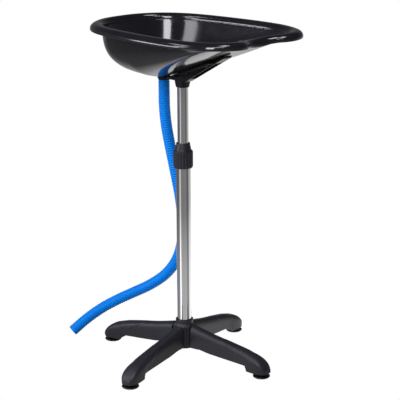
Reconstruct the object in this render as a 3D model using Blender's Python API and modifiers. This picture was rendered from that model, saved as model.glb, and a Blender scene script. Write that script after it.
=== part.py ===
"""Pet bathtub on a telescopic stand: a moulded basin with a neck rest, a bracket, a two-piece
column with a twist lock, a four-leg base with levelling feet, and a drain with its hose.

Metres, +Z up. The neck rest points to +X. The stand's column is upright at x = COLUMN_X, and
every piece is drawn in the column's own frame, whose origin is where the column's axis meets
the floor."""

import math

import bmesh
import bpy
from mathutils import Matrix, Vector

# Frame
COLUMN_X = -0.0174
GAP = 0.0003  # between two pieces that touch

# Base
LEG_COUNT = 4
FIRST_LEG_DEG = 10.4
FOOT_REACH = 0.243  # from the column's axis to a foot's axis
HUB_RADIUS = 0.030
HUB_TOP = 0.112
HUB_RING_RADIUS = 0.0233
HUB_SHOULDER = 0.100
HUB_BOTTOM = 0.036
HUB_ARM_TOP = 0.040
HUB_ARM_REACH = 0.052
HUB_ARM_HALF_WIDTH = 0.012
HUB_FLOOR = 0.046
LEG_SCREW_REACH = 0.042
LEG_SCREW_RADIUS = 0.0024
LEG_SCREW_TOP = 0.060
LEG_WALL = 0.0035
STUD_RADIUS = 0.004
STUD_TOP = 0.032
PAD_RADIUS = 0.0225
PAD_TOP = 0.0080

# Column
LOWER_RADIUS = 0.019
LOWER_TOP = 0.545
UPPER_RADIUS = 0.01425
UPPER_BOTTOM = 0.200
UPPER_TOP = 0.7680
TUBE_WALL = 0.0015
PLUG_TOP = 0.076
COLLAR_BOTTOM = 0.528
COLLAR_SHOULDER = 0.573
COLLAR_TOP = 0.594
COLLAR_RADIUS = 0.0255

# Basin: the crest is the top line of the rim
CREST_Z = 0.899
NECK_DIP = 0.0095
NECK_WIDTH = 0.065
LIP_INWARD = 0.014
LIP_OUTWARD = 0.022
LIP_DROP = 0.014
FLANGE_DROP = 0.0175
SHELL = 0.004
RIM_SEGMENTS = 48
BOWL_RINGS = 11
DRAIN_X = -0.0685
DRAIN_HOLE = 0.0130
DRAIN_FLAT = 0.0225  # radius of the flat seat around the drain
DRAIN_BLEND = 0.050  # and how far beyond it the floor takes to meet the walls
BOWL_FLOOR = 0.769
BOWL_ROUND = 0.158  # how far from the rim the bowl's walls take to become its floor
RAMP_ROUND = 0.100
WALL_FULLNESS = 2.2  # the higher it is, the longer the floor stays low before the wall climbs
WALL_STEEPNESS = 3.0
RAMP_START = -0.046
RAMP_SLOPE = 0.385
RAMP_EASE = 0.004
HALF_RIM = [
    (-0.231, 0.000),
    (-0.225, 0.056),
    (-0.198, 0.105),
    (-0.156, 0.139),
    (-0.097, 0.160),
    (0.000, 0.173),
    (0.100, 0.178),
    (0.180, 0.172),
    (0.236, 0.152),
    (0.264, 0.128),
    (0.276, 0.103),
    (0.274, 0.081),
    (0.258, 0.061),
    (0.245, 0.036),
    (0.240, 0.000),
]

# Bracket, under the ramp: a plate with a hollow wedge below it and the socket for the column
SEAT_AT = 0.060
SEAT_CLEAR = 0.0008
SEAT_SLOPE = 0.3832
PLATE_RUN = (0.010, 0.122)
PLATE_HALF_WIDTH = 0.0295
PLATE_DEPTH = 0.008
WEDGE_RUN = (-0.047, 0.158)
WEDGE_HALF_WIDTH = 0.016
WEDGE_WALL = 0.0035
WEDGE_LOW = (0.020, 0.7555)
WEDGE_REAR_LOW = (-0.016, 0.7570)
WEDGE_TIP_DEPTH = 0.006
WEDGE_REAR_DEPTH = 0.003
SOCKET_BOTTOM = 0.7400
SOCKET_RADII = (0.01725, 0.0195)
BOSS_RADIUS = 0.006
BOSS_HEIGHT = 0.004
BASIN_SCREWS = [(0.035, 0.0215), (0.035, -0.0215), (0.104, 0.0215), (0.104, -0.0215)]
SOCKET_SCREW_Z = 0.7500
SOCKET_SCREW_DEG = 135.0

# Drain and hose
SEAL_TOP = 0.7647
NUT_TOP = 0.7625
NUT_BOTTOM = 0.7535
BARREL_RADIUS = 0.0125
BARREL_BOTTOM = 0.7510
BARREL_BORE = 0.0095
HOSE_RADIUS = 0.015
HOSE_STEP = 0.034  # between two points of the tube
HOSE_ROUTE = [
    (-0.0685, 0.0000, 0.7505),
    (-0.0685, 0.0000, 0.7150),
    (-0.0702, 0.0025, 0.6750),
    (-0.0705, 0.0090, 0.6250),
    (-0.0665, 0.0190, 0.5650),
    (-0.0595, 0.0290, 0.5000),
    (-0.0530, 0.0395, 0.4300),
    (-0.0560, 0.0520, 0.3580),
    (-0.0750, 0.0670, 0.2950),
    (-0.1050, 0.0760, 0.2360),
    (-0.1405, 0.0685, 0.1875),
    (-0.1810, 0.0490, 0.1520),
    (-0.2210, 0.0230, 0.1260),
    (-0.2575, -0.0070, 0.1025),
    (-0.2895, -0.0400, 0.0770),
    (-0.3155, -0.0735, 0.0480),
    (-0.3370, -0.1070, 0.0160),
]

BLACK = (0.012, 0.012, 0.014)
MATT_BLACK = (0.020, 0.021, 0.024)
STEEL = (0.62, 0.62, 0.63)
ZINC = (0.45, 0.45, 0.46)
RUBBER = (0.015, 0.015, 0.016)
BLUE = (0.0, 0.13, 0.72)


# ---- helpers ------------------------------------------------------------------------------


def clear_scene():
    for thing in list(bpy.data.objects):
        bpy.data.objects.remove(thing, do_unlink=True)


def new_collection(name):
    made = bpy.data.collections.new(name)
    bpy.context.scene.collection.children.link(made)
    return made


def empty(name, collection, location, parent=None):
    made = bpy.data.objects.new(name, None)
    made.location = location
    made.parent = parent
    collection.objects.link(made)
    return made


def paint(thing, colour, roughness, metallic=0.0):
    """Gives the object a material of its own."""
    made = bpy.data.materials.new(thing.name)
    made.use_nodes = True
    shader = made.node_tree.nodes["Principled BSDF"]
    shader.inputs["Base Color"].default_value = (*colour, 1.0)
    shader.inputs["Roughness"].default_value = roughness
    shader.inputs["Metallic"].default_value = metallic
    made.diffuse_color = (*colour, 1.0)
    thing.active_material = made
    return thing


def object_of(name, mesh, collection, parent=None):
    made = bpy.data.objects.new(name, mesh)
    made.parent = parent
    collection.objects.link(made)
    return made


def from_bmesh(name, shape, collection, parent=None):
    bmesh.ops.recalc_face_normals(shape, faces=shape.faces)
    mesh = bpy.data.meshes.new(name)
    shape.to_mesh(mesh)
    shape.free()
    mesh.shade_smooth()
    mesh.set_sharp_from_angle(angle=math.radians(35))
    return object_of(name, mesh, collection, parent)


def turned(name, profile, steps, collection, parent=None, closed=True):
    """A solid of revolution about local Z from (radius, z) points that run down the outer side."""
    shape = bmesh.new()
    points = [shape.verts.new((radius, 0.0, z)) for radius, z in profile]
    for one, other in zip(points, points[1:]):
        shape.edges.new((one, other))
    if closed:
        shape.edges.new((points[-1], points[0]))
    mesh = bpy.data.meshes.new(name)
    shape.to_mesh(mesh)
    shape.free()
    made = object_of(name, mesh, collection, parent)
    screw = made.modifiers.new("turn", "SCREW")
    screw.steps = steps
    screw.render_steps = steps
    screw.use_merge_vertices = True
    screw.merge_threshold = 0.00005
    screw.use_smooth_shade = True
    return made


def tube(name, radius, bottom, top, steps, collection, parent=None, wall=TUBE_WALL):
    profile = [(radius, top), (radius, bottom), (radius - wall, bottom), (radius - wall, top)]
    return turned(name, profile, steps, collection, parent)


def rod(name, profile, steps, collection, parent=None):
    """A solid turned piece: its profile is closed at the axis, top and bottom."""
    full = [(0.0, profile[0][1]), *profile, (0.0, profile[-1][1])]
    return turned(name, full, steps, collection, parent, closed=False)


def pin_cutter(name, radius, low, high, collection, matrix, steps=16):
    """A cylinder from low to high along the Z axis of the given matrix."""
    shape = bmesh.new()
    bmesh.ops.create_cone(
        shape, cap_ends=True, segments=steps, radius1=radius, radius2=radius, depth=high - low
    )
    bmesh.ops.translate(shape, verts=shape.verts, vec=(0.0, 0.0, (low + high) / 2))
    made = from_bmesh(name, shape, collection)
    made.matrix_world = matrix
    return made


def box_cutter(name, low, high, collection, matrix):
    shape = bmesh.new()
    bmesh.ops.create_cube(shape, size=1.0)
    size = Vector(high) - Vector(low)
    middle = (Vector(high) + Vector(low)) / 2
    bmesh.ops.scale(shape, verts=shape.verts, vec=size)
    bmesh.ops.translate(shape, verts=shape.verts, vec=middle)
    made = from_bmesh(name, shape, collection)
    made.matrix_world = matrix
    return made


def combine(thing, cutter, operation):
    cutter.hide_render = True
    cutter.display_type = "WIRE"
    step = thing.modifiers.new(cutter.name, "BOOLEAN")
    step.operation = operation
    step.object = cutter


def as_mesh(thing, collection, parent=None):
    """A curve made into a mesh object, with its caps welded."""
    graph = bpy.context.evaluated_depsgraph_get()
    mesh = bpy.data.meshes.new_from_object(thing.evaluated_get(graph))
    shape = bmesh.new()
    shape.from_mesh(mesh)
    bmesh.ops.remove_doubles(shape, verts=shape.verts, dist=0.00002)
    bmesh.ops.recalc_face_normals(shape, faces=shape.faces)
    shape.to_mesh(mesh)
    shape.free()
    name = thing.name
    place = thing.matrix_world.copy()
    bpy.data.objects.remove(thing, do_unlink=True)
    made = object_of(name, mesh, collection, parent)
    made.name = name
    made.matrix_local = place
    return made


def ease(value):
    """0 below 0, 1 above 1, and smooth between."""
    held = min(max(value, 0.0), 1.0)
    return held * held * (3.0 - 2.0 * held)


def smooth_points(points, per_span, closed):
    """Points along a Catmull-Rom curve through the given ones."""
    known = [Vector(point) for point in points]
    count = len(known)
    spans = count if closed else count - 1
    found = []
    for span in range(spans):
        if closed:
            a, b, c, d = (known[(span + k - 1) % count] for k in range(4))
        else:
            b, c = known[span], known[span + 1]
            a = known[span - 1] if span else b * 2 - c
            d = known[span + 2] if span + 2 < count else c * 2 - b
        for step in range(per_span):
            t = step / per_span
            found.append(
                0.5 * (
                    b * 2
                    + (c - a) * t
                    + (a * 2 - b * 5 + c * 4 - d) * t * t
                    + (b * 3 - a - c * 3 + d) * t * t * t
                )
            )
    if not closed:
        found.append(known[-1])
    return found


def evenly(points, count, closed):
    """The same line with its points spread evenly along it."""
    line = points + [points[0]] if closed else points
    lengths = [0.0]
    for one, other in zip(line, line[1:]):
        lengths.append(lengths[-1] + (other - one).length)
    parts = count if closed else count - 1
    found = []
    at = 0
    for step in range(count):
        wanted = lengths[-1] * step / parts
        while at < len(line) - 2 and lengths[at + 1] < wanted:
            at += 1
        share = (wanted - lengths[at]) / (lengths[at + 1] - lengths[at])
        found.append(line[at].lerp(line[at + 1], min(max(share, 0.0), 1.0)))
    return found


# ---- base ---------------------------------------------------------------------------------


def make_hub(parts, cutters, column):
    hub = turned(
        "hub",
        [
            (HUB_RING_RADIUS, HUB_TOP),
            (HUB_RING_RADIUS, HUB_SHOULDER + 0.003),
            (HUB_RADIUS, HUB_SHOULDER - 0.004),
            (HUB_RADIUS, HUB_BOTTOM),
            (STUD_RADIUS + GAP, HUB_BOTTOM),
            (STUD_RADIUS + GAP, HUB_FLOOR),
            (LOWER_RADIUS + GAP, HUB_FLOOR),
            (LOWER_RADIUS + GAP, HUB_TOP),
        ],
        32,
        parts,
        column,
    )
    for number in range(LEG_COUNT):
        turn = column.matrix_world @ leg_turn(number)
        arm = box_cutter(
            f"hub_arm_{number + 1}",
            (0.022, -HUB_ARM_HALF_WIDTH, HUB_BOTTOM + 0.00005),
            (HUB_ARM_REACH, HUB_ARM_HALF_WIDTH, HUB_ARM_TOP),
            cutters,
            turn,
        )
        combine(hub, arm, "UNION")
        place = turn @ Matrix.Translation((LEG_SCREW_REACH, 0, 0))
        hole = pin_cutter(
            f"hub_hole_{number + 1}", LEG_SCREW_RADIUS + GAP, 0.030, 0.0415, cutters, place, 12
        )
        combine(hub, hole, "DIFFERENCE")
    return paint(hub, MATT_BLACK, 0.5)


def leg_turn(number):
    return Matrix.Rotation(math.radians(FIRST_LEG_DEG + 360 / LEG_COUNT * number), 4, "Z")


def leg_stations():
    """(reach, bottom, top, half width) of the leg's sections, from its root to its toe."""
    return [
        (HUB_RADIUS + 0.0006, HUB_ARM_TOP + GAP, 0.0975, 0.0185),
        (0.052, HUB_ARM_TOP + GAP, 0.0925, 0.0180),
        (0.090, 0.0340, 0.0840, 0.0170),
        (0.140, 0.0300, 0.0750, 0.0168),
        (0.185, 0.0275, 0.0660, 0.0180),
        (0.202, 0.0265, 0.0615, 0.0192),
        (0.208, 0.0130, 0.0598, 0.0200),
        (0.228, 0.0120, 0.0535, 0.0215),
        (0.244, 0.0120, 0.0450, 0.0212),
        (0.256, 0.0120, 0.0345, 0.0175),
        (0.2635, 0.0122, 0.0240, 0.0105),
    ]


def leg_section(shape, station, inset=0.0):
    """One section's points, from the lower left over the top to the lower right."""
    reach, bottom, top, half_width = station
    half = half_width - inset
    crown = top - inset
    spring = bottom + (top - bottom) * 0.55
    foot = bottom - 0.02 if inset else bottom
    points = [(reach, -half * 0.96, foot)]
    for step in range(7):
        angle = math.pi * step / 6
        side = -math.copysign(abs(math.cos(angle)) ** 0.7, math.cos(angle))
        points.append((reach, half * side, spring + (crown - spring) * math.sin(angle) ** 0.9))
    points.append((reach, half * 0.96, foot))
    return [shape.verts.new(point) for point in points]


def loft(name, sections, shape, collection):
    for one, other in zip(sections, sections[1:]):
        count = len(one)
        for step in range(count):
            after = (step + 1) % count
            shape.faces.new((one[step], one[after], other[after], other[step]))
    shape.faces.new(sections[0])
    shape.faces.new(sections[-1])
    return from_bmesh(name, shape, collection)


def make_legs(parts, cutters, column):
    for number in range(LEG_COUNT):
        shape = bmesh.new()
        outer = [leg_section(shape, station) for station in leg_stations()]
        leg = loft(f"leg_{number + 1}", outer, shape, parts)
        leg.parent = column
        leg.matrix_local = leg_turn(number)
        hollow_leg(leg, number, cutters, column)
        paint(leg, MATT_BLACK, 0.5)


def hollow_leg(leg, number, cutters, column):
    """The pocket under the leg, the blind hole for its screw and the one for its foot's stud."""
    shape = bmesh.new()
    pocket_stations = [station for station in leg_stations() if 0.05 < station[0] < 0.2]
    reach, bottom, top, half_width = pocket_stations[0]
    pocket_stations[0] = (reach + 0.010, bottom, top, half_width)
    inner = [leg_section(shape, station, LEG_WALL) for station in pocket_stations]
    pocket = loft(f"leg_pocket_{number + 1}", inner, shape, cutters)
    pocket.matrix_world = column.matrix_world @ leg_turn(number)
    combine(leg, pocket, "DIFFERENCE")
    place = column.matrix_world @ leg_turn(number)
    screw_place = place @ Matrix.Translation((LEG_SCREW_REACH, 0, 0))
    screw_hole = pin_cutter(
        f"leg_hole_{number + 1}",
        LEG_SCREW_RADIUS + GAP,
        0.030,
        LEG_SCREW_TOP + GAP,
        cutters,
        screw_place,
        12,
    )
    combine(leg, screw_hole, "DIFFERENCE")
    foot_place = place @ Matrix.Translation((FOOT_REACH, 0, 0))
    stud_hole = pin_cutter(
        f"stud_hole_{number + 1}",
        STUD_RADIUS + GAP,
        0.005,
        STUD_TOP + 0.002,
        cutters,
        foot_place,
        12,
    )
    combine(leg, stud_hole, "DIFFERENCE")


def make_leg_screws(parts, column):
    head = 0.0045
    for number in range(LEG_COUNT):
        screw = rod(
            f"leg_screw_{number + 1}",
            [
                (LEG_SCREW_RADIUS, LEG_SCREW_TOP),
                (LEG_SCREW_RADIUS, HUB_BOTTOM - GAP),
                (head, HUB_BOTTOM - GAP),
                (head, HUB_BOTTOM - 0.0028),
            ],
            12,
            parts,
            column,
        )
        screw.matrix_local = leg_turn(number) @ Matrix.Translation((LEG_SCREW_REACH, 0, 0))
        paint(screw, ZINC, 0.35, 1.0)


def make_feet(parts, column):
    for number in range(LEG_COUNT):
        place = leg_turn(number) @ Matrix.Translation((FOOT_REACH, 0, 0))
        foot = empty(f"foot_{number + 1}", parts, (0, 0, 0), column)
        foot.matrix_local = place
        pad = rod(
            f"foot_pad_{number + 1}",
            [
                (0.0075, PAD_TOP),
                (0.0100, 0.0072),
                (0.0190, 0.0060),
                (PAD_RADIUS, 0.0042),
                (PAD_RADIUS, 0.0022),
                (0.0200, 0.0),
            ],
            24,
            parts,
            foot,
        )
        paint(pad, BLACK, 0.25)
        stud = rod(
            f"foot_stud_{number + 1}",
            [(STUD_RADIUS, STUD_TOP), (STUD_RADIUS, PAD_TOP + GAP)],
            12,
            parts,
            foot,
        )
        paint(stud, ZINC, 0.35, 1.0)


# ---- column -------------------------------------------------------------------------------


def make_lower_column(parts, column):
    lower = tube("lower_tube", LOWER_RADIUS, HUB_FLOOR + GAP, LOWER_TOP, 32, parts, column)
    paint(lower, STEEL, 0.22, 1.0)
    plug_radius = LOWER_RADIUS - TUBE_WALL - GAP
    hole = STUD_RADIUS + GAP
    plug = turned(
        "tube_plug",
        [
            (plug_radius, PLUG_TOP),
            (plug_radius, HUB_FLOOR + GAP),
            (hole, HUB_FLOOR + GAP),
            (hole, PLUG_TOP),
        ],
        24,
        parts,
        column,
    )
    paint(plug, MATT_BLACK, 0.5)
    washer_top = HUB_BOTTOM - GAP
    washer_low = washer_top - 0.0016
    washer = turned(
        "tube_washer",
        [(0.0100, washer_top), (0.0100, washer_low), (hole, washer_low), (hole, washer_top)],
        24,
        parts,
        column,
    )
    paint(washer, ZINC, 0.35, 1.0)
    head_top = washer_top - 0.0016 - GAP
    bolt = rod(
        "tube_bolt",
        [
            (STUD_RADIUS, PLUG_TOP - 0.004),
            (STUD_RADIUS, head_top),
            (0.0072, head_top),
            (0.0072, head_top - 0.0050),
        ],
        12,
        parts,
        column,
    )
    paint(bolt, ZINC, 0.35, 1.0)


def make_twist_lock(parts, cutters, column):
    over_tube = LOWER_RADIUS + GAP
    adapter = turned(
        "clamp_adapter",
        [
            (0.0222, 0.5600),
            (0.0222, COLLAR_BOTTOM + 0.0015),
            (over_tube, COLLAR_BOTTOM + 0.0015),
            (over_tube, LOWER_TOP + GAP),
            (UPPER_RADIUS + 0.0005, LOWER_TOP + GAP),
            (UPPER_RADIUS + 0.0005, 0.5600),
        ],
        32,
        parts,
        column,
    )
    paint(adapter, MATT_BLACK, 0.5)
    collet = turned(
        "collet",
        [(0.0172, 0.5880), (0.0193, 0.5630), (0.0193, 0.5604), (0.0148, 0.5604), (0.0148, 0.5880)],
        32,
        parts,
        column,
    )
    slit = box_cutter(
        "collet_slit", (-0.025, -0.001, 0.555), (-0.010, 0.001, 0.595), cutters, column.matrix_world
    )
    combine(collet, slit, "DIFFERENCE")
    paint(collet, MATT_BLACK, 0.5)
    collar = turned(
        "lock_collar",
        [
            (0.0177, COLLAR_TOP),
            (0.0212, COLLAR_SHOULDER + 0.0005),
            (0.0240, COLLAR_SHOULDER),
            (COLLAR_RADIUS, COLLAR_SHOULDER - 0.0020),
            (COLLAR_RADIUS, COLLAR_BOTTOM + 0.0040),
            (COLLAR_RADIUS - 0.0018, COLLAR_BOTTOM),
            (0.0226, COLLAR_BOTTOM),
            (0.0226, 0.5608),
            (0.0200, 0.5625),
            (0.0178, 0.5885),
            (0.0151, 0.5895),
            (0.0151, COLLAR_TOP),
        ],
        40,
        parts,
        column,
    )
    paint(collar, MATT_BLACK, 0.4)


def make_upper_column(parts, cutters, column):
    upper = tube("upper_tube", UPPER_RADIUS, UPPER_BOTTOM, UPPER_TOP, 32, parts, column)
    place = column.matrix_world @ socket_screw_place()
    hole = pin_cutter("upper_tube_hole", 0.0028, 0.008, 0.024, cutters, place, 12)
    combine(upper, hole, "DIFFERENCE")
    paint(upper, STEEL, 0.18, 1.0)
    outer = LOWER_RADIUS - TUBE_WALL - GAP
    inner = UPPER_RADIUS + GAP
    bush = turned(
        "guide_bush",
        [
            (outer, UPPER_BOTTOM + 0.040),
            (outer, UPPER_BOTTOM - 0.004),
            (0.010, UPPER_BOTTOM - 0.004),
            (0.010, UPPER_BOTTOM - GAP),
            (inner, UPPER_BOTTOM - GAP),
            (inner, UPPER_BOTTOM + 0.040),
        ],
        24,
        parts,
        column,
    )
    paint(bush, MATT_BLACK, 0.5)


def socket_screw_place():
    turn = Matrix.Rotation(math.radians(SOCKET_SCREW_DEG), 4, "Z")
    return Matrix.Translation((0, 0, SOCKET_SCREW_Z)) @ turn @ Matrix.Rotation(math.pi / 2, 4, "Y")


# ---- bracket ------------------------------------------------------------------------------


def ramp_underside(x):
    run = RAMP_SLOPE * max(x - RAMP_START, 0.0)
    return BOWL_FLOOR - SHELL + math.sqrt(run * run + RAMP_EASE * RAMP_EASE) - RAMP_EASE


def seat_height(x):
    """Height of the plane that the bracket's top face lies in, just under the ramp."""
    return ramp_underside(SEAT_AT) - SEAT_CLEAR + SEAT_SLOPE * (x - SEAT_AT)


def seat_place(x, y):
    """A frame on the bracket's top face, with Z straight out of it."""
    tilt = Matrix.Rotation(-math.atan(SEAT_SLOPE), 4, "Y")
    return Matrix.Translation((x, y, seat_height(x))) @ tilt


def prism(name, outline, half_width, collection):
    """A flat outline of (x, z) points, extruded both ways along Y."""
    curve = bpy.data.curves.new(name, "CURVE")
    curve.dimensions = "2D"
    curve.fill_mode = "BOTH"
    curve.extrude = half_width
    spline = curve.splines.new("POLY")
    spline.points.add(len(outline) - 1)
    for point, (x, z) in zip(spline.points, outline):
        point.co = (x, z, 0.0, 1.0)
    spline.use_cyclic_u = True
    flat = object_of(name, curve, collection)
    flat.matrix_world = Matrix.Rotation(math.pi / 2, 4, "X")
    bpy.context.view_layer.update()
    return as_mesh(flat, collection)


def wedge_outline():
    rear, tip = WEDGE_RUN
    return [
        (rear, seat_height(rear)),
        (rear, seat_height(rear) - WEDGE_REAR_DEPTH),
        WEDGE_REAR_LOW,
        WEDGE_LOW,
        (tip, seat_height(tip) - WEDGE_TIP_DEPTH),
        (tip, seat_height(tip)),
    ]


def make_bracket(parts, cutters, column):
    bracket = prism("bracket", wedge_outline(), WEDGE_HALF_WIDTH, parts)
    bracket.parent = column
    place = column.matrix_world
    run = (PLATE_RUN[1] - PLATE_RUN[0]) * math.hypot(1.0, SEAT_SLOPE)
    plate = box_cutter(
        "bracket_plate",
        (0.0, -PLATE_HALF_WIDTH, -PLATE_DEPTH),
        (run, PLATE_HALF_WIDTH, -0.0001),
        cutters,
        place @ seat_place(PLATE_RUN[0], 0.0),
    )
    combine(bracket, plate, "UNION")
    socket = rod(
        "bracket_socket",
        [
            (SOCKET_RADII[1] + 0.0004, seat_height(-SOCKET_RADII[1]) - 0.0010),
            (SOCKET_RADII[1], SOCKET_BOTTOM + 0.017),
            (SOCKET_RADII[0], SOCKET_BOTTOM),
        ],
        32,
        cutters,
        column,
    )
    combine(bracket, socket, "UNION")
    cut_bracket(bracket, cutters, place)
    return paint(bracket, MATT_BLACK, 0.45)


def cut_bracket(bracket, cutters, place):
    """The column's bore, the wedge's hollow, and a recess and a hole for each boss and screw."""
    bore = pin_cutter(
        "bracket_bore", UPPER_RADIUS + GAP, 0.70, UPPER_TOP + GAP, cutters, place, 32
    )
    combine(bracket, bore, "DIFFERENCE")
    side_hole = pin_cutter(
        "bracket_side_hole", 0.0028, 0.008, 0.024, cutters, place @ socket_screw_place(), 12
    )
    combine(bracket, side_hole, "DIFFERENCE")
    hollow = box_cutter(
        "bracket_hollow",
        (0.0, -WEDGE_HALF_WIDTH + WEDGE_WALL, -0.060),
        (0.105, WEDGE_HALF_WIDTH - WEDGE_WALL, -PLATE_DEPTH),
        cutters,
        place @ seat_place(0.028, 0.0),
    )
    combine(bracket, hollow, "DIFFERENCE")
    for number, (x, y) in enumerate(BASIN_SCREWS):
        spot = place @ seat_place(x, y)
        recess_depth = BOSS_HEIGHT + 0.0005
        recess = pin_cutter(
            f"bracket_recess_{number + 1}", BOSS_RADIUS + 0.0006, -recess_depth, 0.010, cutters, spot
        )
        combine(bracket, recess, "DIFFERENCE")
        hole = pin_cutter(f"bracket_hole_{number + 1}", 0.0026, -0.020, 0.005, cutters, spot, 12)
        combine(bracket, hole, "DIFFERENCE")


def make_bracket_screws(parts, column):
    for number, (x, y) in enumerate(BASIN_SCREWS):
        screw = rod(
            f"basin_screw_{number + 1}",
            [
                (0.0021, 0.0018),
                (0.0021, -PLATE_DEPTH - GAP),
                (0.0044, -PLATE_DEPTH - GAP),
                (0.0044, -PLATE_DEPTH - 0.0026),
            ],
            12,
            parts,
            column,
        )
        screw.matrix_local = seat_place(x, y)
        paint(screw, ZINC, 0.35, 1.0)
    grub = rod("socket_screw", [(0.0025, 0.0180), (0.0025, 0.0115)], 12, parts, column)
    grub.matrix_local = socket_screw_place()
    paint(grub, ZINC, 0.35, 1.0)


# ---- basin --------------------------------------------------------------------------------


def crest_line():
    """The rim's crest seen from above, as evenly spaced points."""
    other_half = [(x, -y) for x, y in reversed(HALF_RIM[1:-1])]
    ring = [(x, y, 0.0) for x, y in [*HALF_RIM, *other_half]]
    return evenly(smooth_points(ring, 16, True), RIM_SEGMENTS, True)


def outward(line):
    """Unit normals of a closed line, pointing out of it."""
    found = []
    count = len(line)
    for step in range(count):
        along = (line[(step + 1) % count] - line[step - 1]).normalized()
        normal = Vector((along.y, -along.x, 0.0))
        found.append(normal if normal.dot(line[step]) > 0 else -normal)
    return found


def crest_height(x, y):
    front = ease((x - 0.10) / 0.14)
    return CREST_Z - NECK_DIP * front * math.exp(-((y / NECK_WIDTH) ** 2))


def bowl_height(point, edge):
    """Height of the bowl's inner face at a point, from how far it is from the bowl's edge."""
    away = min((point - on_edge).length for on_edge in edge)
    share = ease((point.x - DRAIN_X) / 0.20)
    reach = BOWL_ROUND + (RAMP_ROUND - BOWL_ROUND) * share
    floor = ramp_underside(point.x) + SHELL
    rise = max(1.0 - away / reach, 0.0)
    climb = 1.0 - (1.0 - rise**WALL_FULLNESS) ** (1.0 / WALL_STEEPNESS)
    from_drain = math.hypot(point.x - DRAIN_X, point.y)
    climb *= ease((from_drain - DRAIN_FLAT) / DRAIN_BLEND)
    top = crest_height(point.x, point.y) - LIP_INWARD
    return floor + (top - floor) * climb


def lip_section():
    """(outward, down) steps of the rolled rim, from just inside the crest to the flange's foot."""
    inner = [
        (-LIP_INWARD * math.cos(math.radians(angle)), LIP_INWARD * (1 - math.sin(math.radians(angle))))
        for angle in (0, 30, 60, 90)
    ]
    crown = 0.003
    outer = [
        (
            crown + (LIP_OUTWARD - crown) * math.sin(math.radians(angle)),
            LIP_DROP * (1 - math.cos(math.radians(angle))),
        )
        for angle in (0, 30, 60, 90)
    ]
    return [*inner, *outer, (LIP_OUTWARD, FLANGE_DROP)]


def basin_rings():
    """The basin's upper face as rings of points, from the drain hole out to the flange."""
    crest = crest_line()
    normals = outward(crest)
    edge = [point - normal * LIP_INWARD for point, normal in zip(crest, normals)]
    fine_edge = evenly(edge, RIM_SEGMENTS * 8, True)
    drain = Vector((DRAIN_X, 0.0, 0.0))
    rings = []
    for ring in range(-1, BOWL_RINGS):
        share = math.sin(math.pi / 2 * max(ring, 0) / BOWL_RINGS)
        points = []
        for on_edge in edge:
            spoke = on_edge - drain
            start = drain + spoke.normalized() * (DRAIN_HOLE if ring < 0 else DRAIN_FLAT)
            point = start.lerp(on_edge, share)
            points.append(Vector((point.x, point.y, bowl_height(point, fine_edge))))
        rings.append(points)
    for out, down in lip_section():
        points = []
        for point, normal in zip(crest, normals):
            height = crest_height(point.x, point.y) - down
            spot = point + normal * out
            points.append(Vector((spot.x, spot.y, height)))
        rings.append(points)
    return rings


def make_basin(parts, cutters, column):
    shape = bmesh.new()
    rings = [[shape.verts.new(point) for point in ring] for ring in basin_rings()]
    for one, other in zip(rings, rings[1:]):
        for step in range(RIM_SEGMENTS):
            after = (step + 1) % RIM_SEGMENTS
            shape.faces.new((one[step], other[step], other[after], one[after]))
    shape.normal_update()
    upward = sum(face.normal.z for face in shape.faces)
    if upward < 0:
        bmesh.ops.reverse_faces(shape, faces=shape.faces)
    mesh = bpy.data.meshes.new("basin")
    shape.to_mesh(mesh)
    shape.free()
    mesh.shade_smooth()
    basin = object_of("basin", mesh, parts, column)
    shell = basin.modifiers.new("shell", "SOLIDIFY")
    shell.thickness = SHELL
    shell.offset = -1.0
    shell.use_even_offset = True
    place = column.matrix_world
    for number, (x, y) in enumerate(BASIN_SCREWS):
        spot = place @ seat_place(x, y)
        boss = pin_cutter(f"basin_boss_{number + 1}", BOSS_RADIUS, -BOSS_HEIGHT, 0.003, cutters, spot)
        combine(basin, boss, "UNION")
        hole = pin_cutter(f"basin_pilot_{number + 1}", 0.0024, -0.010, 0.0022, cutters, spot, 12)
        combine(basin, hole, "DIFFERENCE")
    return paint(basin, BLACK, 0.12)


# ---- drain --------------------------------------------------------------------------------


def make_drain(parts, cutters, column):
    drain = empty("drain", parts, (DRAIN_X, 0.0, 0.0), column)
    bpy.context.view_layer.update()
    flange = turned(
        "drain_flange",
        [
            (0.0185, BOWL_FLOOR + 0.0026),
            (0.0195, BOWL_FLOOR + 0.0012),
            (0.0195, BOWL_FLOOR + GAP),
            (BARREL_RADIUS, BOWL_FLOOR + GAP),
            (BARREL_RADIUS, BARREL_BOTTOM),
            (BARREL_BORE, BARREL_BOTTOM),
            (BARREL_BORE, BOWL_FLOOR - 0.0010),
            (0.0135, BOWL_FLOOR + 0.0026),
        ],
        32,
        parts,
        drain,
    )
    paint(flange, ZINC, 0.2, 1.0)
    inner = BARREL_RADIUS + GAP
    seal = turned(
        "drain_gasket",
        [(0.0160, SEAL_TOP), (0.0160, NUT_TOP + GAP), (inner, NUT_TOP + GAP), (inner, SEAL_TOP)],
        24,
        parts,
        drain,
    )
    paint(seal, RUBBER, 0.8)
    nut = turned(
        "drain_nut",
        [
            (0.0155, NUT_TOP),
            (0.0168, NUT_TOP - 0.0012),
            (0.0168, NUT_BOTTOM),
            (inner, NUT_BOTTOM),
            (inner, NUT_TOP),
        ],
        24,
        parts,
        drain,
    )
    paint(nut, MATT_BLACK, 0.45)
    make_strainer(parts, cutters, column, drain)


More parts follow.
